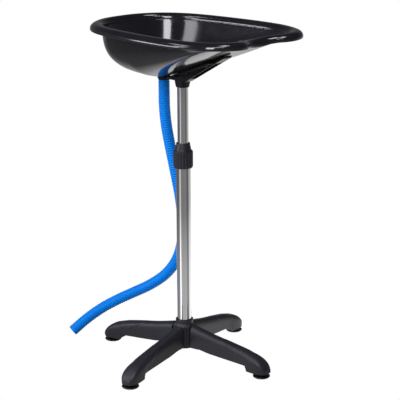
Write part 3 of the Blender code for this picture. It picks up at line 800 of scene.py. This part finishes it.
def offset_rings(rings, depth):
    """The rings moved in along the surface's normals, which are averaged over near neighbours."""
    grid = np.array(rings)
    down = np.gradient(grid, axis=0)
    along = np.roll(grid, -1, axis=1) - np.roll(grid, 1, axis=1)
    normal = np.cross(along, down)
    normal /= np.linalg.norm(normal, axis=2)[:, :, None]
    normal = sum(np.roll(normal, shift, axis=1) for shift in range(-NORMAL_REACH, NORMAL_REACH + 1))
    normal /= np.linalg.norm(normal, axis=2)[:, :, None]
    if normal[0, :, 2].mean() < 0:
        normal = -normal
    return list(grid - normal * depth)


def make_basin():
    crest, out = rim_line()
    edge = crest - out * LIP_INWARD
    fine_edge = evenly(edge, BASIN_SEGMENTS * 4, True)
    drain = np.array([DRAIN_X, 0.0])
    spokes = edge - drain
    starts = spokes / np.linalg.norm(spokes, axis=1)[:, None]
    inner = []
    outer = []
    for ring in range(-2, BOWL_RINGS):
        share = math.sin(math.pi / 2 * max(ring, 0) / BOWL_RINGS)
        radius = (DRAIN_HOLE, (DRAIN_HOLE + DRAIN_FLAT) / 2, DRAIN_FLAT)[min(ring, 0) + 2]
        start = drain + starts * radius
        points = start + (edge - start) * share
        inner.append(np.column_stack([points, bowl_height(points, fine_edge, True)]))
        outer.append(np.column_stack([points, bowl_height(points, fine_edge, False)]))
    base = crest_height(crest[:, 0], crest[:, 1])

    def rim_rings(section):
        return [np.column_stack([crest + out * step, base - down]) for step, down in section]

    lip = rim_rings(lip_section())
    below = offset_rings(outer + lip, SHELL)[::-1]
    rings = [*inner, *lip, *rim_rings(flange_edge()), *below]
    basin = piece_of("basin_shell", skin(rings, True, True), 60.0)
    wear(basin, GLOSS_BLACK)
    show(basin, "mast", "basin_plastic", "basin")


# ---- bracket ------------------------------------------------------------------------------


def block(name, low, high, place):
    shape = bmesh.new()
    bmesh.ops.create_cube(shape, size=1.0)
    size = Vector(high) - Vector(low)
    bmesh.ops.scale(shape, verts=shape.verts, vec=size)
    bmesh.ops.translate(shape, verts=shape.verts, vec=(Vector(high) + Vector(low)) / 2)
    return piece_of(name, shape, place=place)


def wedge_prism():
    rear, tip = WEDGE_RUN
    outline = [
        (rear, seat_height(rear)),
        (rear, seat_height(rear) - WEDGE_REAR_EDGE),
        WEDGE_REAR_LOW,
        WEDGE_LOW,
        (tip, seat_height(tip) - WEDGE_TIP_EDGE),
        (tip, seat_height(tip)),
    ]
    rings = [
        [(x, side * WEDGE_HALF_WIDTH, z) for x, z in outline]
        for side in (-1, 1)
    ]
    return piece_of("bracket_body", capped(rings))


def make_bracket():
    """The plate, the hollow wedge and the ribbed socket, melted together as one moulding."""
    bracket = wedge_prism()
    run = (PLATE_RUN[1] - PLATE_RUN[0]) * math.hypot(1.0, SEAT_SLOPE)
    seat = seat_place(PLATE_RUN[0], 0.0)
    plate = block(
        "plate", (0.0, -PLATE_HALF_WIDTH, -PLATE_DEPTH), (run, PLATE_HALF_WIDTH, -0.0001), seat
    )
    spread_of = SOCKET_RADII[1] - SOCKET_RADII[0]
    socket_top = SOCKET_BOTTOM + SOCKET_HEIGHT

    def fluted(angle, radius, z):
        rib = max(bump(((angle / math.tau * SOCKET_RIBS) % 1.0) - 0.5, 0.22), 0.0)
        return radius + SOCKET_RELIEF * rib * ease((z - SOCKET_BOTTOM - 0.004) / 0.004)

    socket = lathe(
        "socket",
        [
            (0.0, seat_height(-SOCKET_RADII[1]) - 0.001),
            (SOCKET_RADII[1] + 0.0004, seat_height(-SOCKET_RADII[1]) - 0.001),
            (SOCKET_RADII[1], socket_top),
            (SOCKET_RADII[0] + spread_of * 0.5, (socket_top + SOCKET_BOTTOM) / 2),
            (SOCKET_RADII[0] + spread_of * 0.3, SOCKET_BOTTOM + 0.005),
            (SOCKET_RADII[0], SOCKET_BOTTOM),
            (0.0, SOCKET_BOTTOM),
        ],
        160,
        fluted,
    )
    cut(bracket, [plate, socket], "UNION")
    hollow = block(
        "hollow",
        (0.0, -WEDGE_HALF_WIDTH + WEDGE_WALL, -HOLLOW_DEPTH),
        (HOLLOW_RUN, WEDGE_HALF_WIDTH - WEDGE_WALL, -PLATE_DEPTH),
        seat_place(HOLLOW_START, 0.0),
    )
    cut(bracket, [hollow])
    melt = bracket.modifiers.new("melt", "REMESH")
    melt.mode = "VOXEL"
    melt.voxel_size = MELT_SIZE
    even = bracket.modifiers.new("even", "SMOOTH")
    even.factor = 0.5
    even.iterations = 5
    settled(bracket)
    bracket.data.shade_smooth()
    wear(bracket, BRACKET_BLACK)
    show(bracket, "mast", "moulded_black", "bracket")


def screw_outline(shank, length, head, height):
    """A pan-head screw with its head down and a socket in the head."""
    return rounded(
        [
            (0.0, 0.0018),
            (shank, 0.0018),
            (shank, -length),
            (head, -length),
            (head, -length - height),
            (head * 0.5, -length - height),
            (head * 0.45, -length - height * 0.4),
            (0.0, -length - height * 0.4),
        ],
        0.0006,
        3,
    )


def hexagon(angle, radius):
    """The distance to a hexagon's side at an angle, from the radius of its corners."""
    return radius * math.cos(math.pi / 6) / math.cos((angle % (math.pi / 3)) - math.pi / 6)


def hex_recess(head):
    def ripple(angle, radius, _z):
        if 0.3 * head < radius < 0.55 * head:
            return hexagon(angle, radius)
        return radius

    return ripple


def make_bracket_screws():
    for number, (x, y) in enumerate(BASIN_SCREWS):
        outline = screw_outline(0.0021, PLATE_DEPTH + 0.0003, 0.0044, 0.0026)
        screw = lathe(
            f"bracket_screw_{number + 1}", outline, 48, hex_recess(0.0044), seat_place(x, y)
        )
        # The heads wear the darkened steel, which is painted shade under the bracket's plate.
        wear(screw, SCREW_STEEL_PAINTED_SHADE)
        show(screw, "mast", "zinc_steel", f"basin_screw_{number + 1}")


# ---- column -------------------------------------------------------------------------------


def make_column():
    """The two tubes, open at both ends."""
    for name, node, radius, body in (
        ("lower_column", "lower_tube", LOWER_RADIUS, "stand"),
        ("upper_column", "upper_tube", UPPER_RADIUS, "mast"),
    ):
        low, high = foot_of(node), top_of(node)
        outline = [(radius, high), (radius, low), (radius - TUBE_WALL, low), (radius - TUBE_WALL, high)]
        tube = lathe(name, rounded(outline, TUBE_EDGE, 3), TUBE_SEGMENTS)
        wear(tube, DRAWN_STEEL)
        show(tube, body, "tube_steel", node)


def make_collar():
    """The twist lock: a fluted grip under a smooth tapered nose."""
    low, high = foot_of("lock_collar"), top_of("lock_collar")
    shoulder = low + GRIP_HEIGHT

    def fluted(angle, radius, z):
        if radius < LOWER_RADIUS + 0.0045:
            return radius
        groove = 0.5 + 0.5 * math.cos(angle * GRIP_FLUTES)
        along = ease((z - low - 0.001) / 0.004) * ease((shoulder - 0.0005 - z) / 0.003)
        return radius - FLUTE_DEPTH * groove**2.2 * along

    outline = rounded(
        [
            (0.0177, high),
            (0.0212, shoulder + 0.0015),
            (0.0240, shoulder),
            (COLLAR_RADIUS, shoulder - 0.0020),
            (COLLAR_RADIUS, shoulder - 0.0060),
            (COLLAR_RADIUS, low + 0.0100),
            (COLLAR_RADIUS, low + 0.0040),
            (COLLAR_RADIUS - 0.0018, low),
            (COLLAR_BORE, low),
            *COLLAR_CONE,
            (COLLAR_MOUTH, high),
        ],
        0.0012,
    )
    collar = lathe("twist_collar", outline, COLLAR_SEGMENTS, fluted)
    wear(collar, SATIN_BLACK)
    show(collar, "lock", "moulded_black", "lock_collar")


def finish_inner_pieces():
    """Finishes for the pieces that keep the frame's own shape."""
    for node in ("clamp_adapter", "collet", "guide_bush", "tube_plug"):
        wear(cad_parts[node], SATIN_BLACK)
    for node in ("tube_washer", "socket_screw"):
        wear(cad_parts[node], ZINC_STEEL)


# ---- base ---------------------------------------------------------------------------------


def leg_turn(number):
    return Matrix.Rotation(FIRST_LEG + math.tau / LEGS * number, 4, "Z")


def make_hub():
    low, high = foot_of("hub"), top_of("hub")
    shoulder = high - 0.012

    def ribbed(angle, radius, z):
        if radius < LOWER_RADIUS + 0.003:
            return radius
        turn = (angle - FIRST_LEG - math.pi / LEGS) % (math.tau / LEGS)
        turn = min(turn, math.tau / LEGS - turn)
        rib = max(bump(turn - spot, 0.055) for spot in (0.0, 0.23))
        along = ease((z - low) / 0.004) * ease((shoulder + 0.001 - z) / 0.006)
        return radius - HUB_RIB_DEPTH * along * (1.0 - rib)

    outline = rounded(
        [
            (0.0233, high),
            (0.0233, shoulder + 0.0030),
            (0.0240, shoulder + 0.0010),
            (HUB_RADIUS, shoulder - 0.0050),
            (HUB_RADIUS, shoulder - 0.0200),
            (HUB_RADIUS, low + 0.0080),
            (HUB_RADIUS, low),
            (HUB_BOLT_HOLE, low),
            (HUB_BOLT_HOLE, low + HUB_FLOOR),
            (LOWER_RADIUS + 0.0003, low + HUB_FLOOR),
            (LOWER_RADIUS + 0.0003, high),
        ],
        0.0012,
    )
    hub = lathe("hub_body", outline, 360, ribbed)
    arm_low = (ARM_RUN[0], -ARM_HALF_WIDTH, low + 0.0001)
    arm_high = (ARM_RUN[1], ARM_HALF_WIDTH, low + ARM_TOP)
    arms = [
        block(f"arm_{number}", arm_low, arm_high, leg_turn(number)) for number in range(LEGS)
    ]
    cut(hub, arms, "UNION")
    hub.data.shade_smooth()
    hub.data.set_sharp_from_angle(angle=math.radians(40))
    wear(hub, SATIN_BLACK)
    show(hub, "stand", "moulded_black", "hub")


def leg_at(reach):
    """(bottom, top, half width) of the leg at a distance from the column's axis."""
    table = np.array(LEG_STATIONS)
    smooth = curve_through(table, 12)
    order = smooth[:, 0]
    bottom = np.interp(reach, table[:, 0], table[:, 1])
    return bottom, np.interp(reach, order, smooth[:, 2]), np.interp(reach, order, smooth[:, 3])


def leg_ring(reach, inset=0.0, steps=30):
    """One section of the leg, from the lower left over the top to the lower right."""
    bottom, top, half = leg_at(reach)
    half = half - inset
    crown = top - inset
    spring = bottom + (top - bottom) * 0.55
    foot = bottom - 0.02 if inset else bottom
    points = [(reach, -half * 0.96, foot), (reach, -half * 0.975, foot + (spring - foot) * 0.5)]
    for step in range(steps + 1):
        turn = math.pi * step / steps
        side = -math.copysign(abs(math.cos(turn)) ** 0.7, math.cos(turn))
        height = spring + (crown - spring) * math.sin(turn) ** 0.9
        points.append((reach, half * side, height))
    points += [(reach, half * 0.975, foot + (spring - foot) * 0.5), (reach, half * 0.96, foot)]
    if inset:
        return points
    return [toe_step(point, bottom, top) for point in points]


def toe_step(point, bottom, top):
    """The leg's side stands out by a small step beyond a line that sweeps down towards the toe."""
    reach, across, height = point
    share = (height - bottom) / (top - bottom)
    line = 0.205 - 0.085 * share**1.6
    out = TOE_STEP * ease((reach - line) / 0.003)
    return (reach, across + math.copysign(out, across) * min(abs(across) / 0.008, 1.0), height)


def leg_mesh():
    """One leg with a ribbed pocket under it and a hole for the levelling stud."""
    reaches = [reach for run in LEG_RUNS for reach in np.linspace(*run)]
    leg = piece_of("leg_shape", capped([leg_ring(reach) for reach in reaches]), 38.0)
    pockets = []
    edges = np.linspace(*POCKET_RUN, POCKETS + 1)
    for number, (start, end) in enumerate(zip(edges, edges[1:])):
        inside = np.linspace(start + POCKET_RIB, end - POCKET_RIB, 6)
        rings = [leg_ring(reach, LEG_WALL, 14) for reach in inside]
        pockets.append(piece_of(f"pocket_{number}", capped(rings)))
    hole = lathe(
        "stud_hole",
        [(0.0, 0.034), (0.0045, 0.034), (0.0045, 0.005), (0.0, 0.005)],
        32,
        place=Matrix.Translation((FOOT_REACH, 0, 0)),
    )
    cut(leg, [*pockets, hole])
    mesh = leg.data
    mesh.shade_smooth()
    mesh.set_sharp_from_angle(angle=math.radians(38))
    bpy.data.objects.remove(leg, do_unlink=True)
    return mesh


def make_legs():
    mesh = leg_mesh()
    for number in range(LEGS):
        leg = bpy.data.objects.new(f"leg_shell_{number + 1}", mesh.copy())
        leg.matrix_world = Matrix.Translation((COLUMN_X, 0, 0)) @ leg_turn(number)
        bpy.context.scene.collection.objects.link(leg)
        wear(leg, SATIN_BLACK)
        show(leg, "stand", "moulded_black", f"leg_{number + 1}")


def make_feet():
    """A dished pad on a threaded stud under each toe."""
    pad_outline = rounded(
        [
            (0.0, PAD_TOP),
            (0.0075, PAD_TOP),
            (0.0078, 0.0072),
            (0.0105, 0.0060),
            (0.0175, 0.0046),
            (0.0205, 0.0050),
            (PAD_RADIUS, 0.0040),
            (PAD_RADIUS, 0.0022),
            (0.0203, 0.0),
            (0.0, 0.0),
        ],
        0.0010,
    )
    stud_low, stud_high = foot_of("foot_stud_1"), top_of("foot_stud_1")
    thread = [(0.0, stud_high)]
    for step in range(STUD_TURNS * 2 + 1):
        share = step / (STUD_TURNS * 2)
        thread.append((STUD_RADII[step % 2], stud_high - (stud_high - stud_low) * share))
    thread.append((0.0, stud_low))
    for number in range(LEGS):
        place = leg_turn(number) @ Matrix.Translation((FOOT_REACH, 0, 0))
        pad = lathe(f"pad_{number + 1}", pad_outline, 96, place=place)
        wear(pad, PAD_BLACK)
        show(pad, f"foot_{number + 1}", "pad_plastic", f"foot_pad_{number + 1}")
        stud = lathe(f"stud_{number + 1}", thread, 40, place=place)
        wear(stud, ZINC_STEEL)
        show(stud, f"foot_{number + 1}", "zinc_steel", f"foot_stud_{number + 1}")


def make_base_screws():
    for number in range(LEGS):
        node = f"leg_screw_{number + 1}"
        outline = screw_outline(0.0024, 0.0, 0.0045, 0.0028)
        screw = lathe(
            f"base_screw_{number + 1}",
            outline,
            48,
            hex_recess(0.0045),
            leg_turn(number) @ Matrix.Translation((LEG_SCREW_REACH, 0, foot_of("hub") - 0.0003)),
        )
        wear(screw, ZINC_STEEL)
        show(screw, "stand", "zinc_steel", node)

    def six_sided(angle, radius, _z):
        if radius < 0.0045:
            return radius
        return hexagon(angle, radius) * 1.1

    low, high = foot_of("tube_bolt"), top_of("tube_bolt")
    bolt = lathe(
        "column_bolt",
        rounded(
            [
                (0.0, high),
                (0.004, high),
                (0.004, low + 0.005),
                (0.0072, low + 0.005),
                (0.0072, low),
                (0.0, low),
            ],
            0.0004,
            3,
        ),
        96,
        six_sided,
    )
    wear(bolt, ZINC_STEEL)
    show(bolt, "stand", "zinc_steel", "tube_bolt")


# ---- drain --------------------------------------------------------------------------------


def make_drain():
    place = Matrix.Translation((DRAIN_X, 0, 0))
    flange = lathe(
        "drain_ring",
        rounded(
            [
                (0.0180, BOWL_FLOOR + 0.0026),
                (0.0195, BOWL_FLOOR + 0.0012),
                (0.0195, BOWL_FLOOR + 0.0003),
                (0.0125, BOWL_FLOOR + 0.0003),
                (0.0125, foot_of("drain_flange")),
                (0.0095, foot_of("drain_flange")),
                (0.0095, BOWL_FLOOR - 0.0010),
                (0.0135, BOWL_FLOOR + 0.0026),
            ],
            0.0005,
            3,
        ),
        96,
        place=place,
    )
    wear(flange, PAD_BLACK)
    show(flange, "mast", "drain_plastic", "drain_flange")
    wear(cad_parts["drain_gasket"], SEAL_BLACK)

    def lobed(angle, radius, _z):
        if radius < 0.0150:
            return radius
        return radius - 0.0011 * (0.5 + 0.5 * math.cos(angle * 12)) ** 2

    low, high = foot_of("drain_nut"), top_of("drain_nut")
    nut = lathe(
        "drain_lock_nut",
        rounded([(0.0168, high), (0.0168, low), (0.0128, low), (0.0128, high)], 0.0010, 3),
        144,
        lobed,
        place,
    )
    wear(nut, BRACKET_BLACK)
    show(nut, "mast", "drain_plastic", "drain_nut")


def make_strainer():
    place = Matrix.Translation((DRAIN_X, 0, 0))
    top = BOWL_FLOOR + 0.0046
    strainer = lathe(
        "strainer",
        rounded(
            [
                (0.0, top + 0.0060),
                (0.0030, top + 0.0060),
                (0.0022, top + 0.0010),
                (0.0120, top),
                (0.0155, top - 0.0014),
                (0.0155, top - 0.0018),
                (0.0130, top - 0.0018),
                (0.0088, BOWL_FLOOR - 0.0005),
                (0.0088, BOWL_FLOOR - 0.0040),
                (0.0, BOWL_FLOOR - 0.0040),
            ],
            0.0005,
            3,
        ),
        72,
        place=place,
    )
    above, below = 0.80, 0.70
    holes = []
    for count, reach, radius in ((6, 0.0058, 0.0016), (12, 0.0100, 0.0011)):
        for number in range(count):
            turn = Matrix.Rotation(math.tau / count * number, 4, "Z")
            spot = place @ turn @ Matrix.Translation((reach, 0, 0))
            outline = [(0.0, above), (radius, above), (radius, below), (0.0, below)]
            holes.append(lathe(f"hole_{count}_{number}", outline, 16, place=spot))
    cut(strainer, holes)
    strainer.data.shade_smooth()
    strainer.data.set_sharp_from_angle(angle=math.radians(40))
    wear(strainer, PAD_BLACK)
    show(strainer, "strainer", "drain_plastic", "hair_strainer")


# ---- all of it ----------------------------------------------------------------------------


def make_scene():
    make_camera()
    make_hose()
    make_basin()
    make_bracket()
    make_bracket_screws()
    make_column()
    make_collar()
    finish_inner_pieces()
    make_hub()
    make_legs()
    make_feet()
    make_base_screws()
    make_drain()
    make_strainer()
    make_world()
    make_floor()
    make_lights()
    bpy.context.scene.view_settings.view_transform = "Standard"


make_scene()
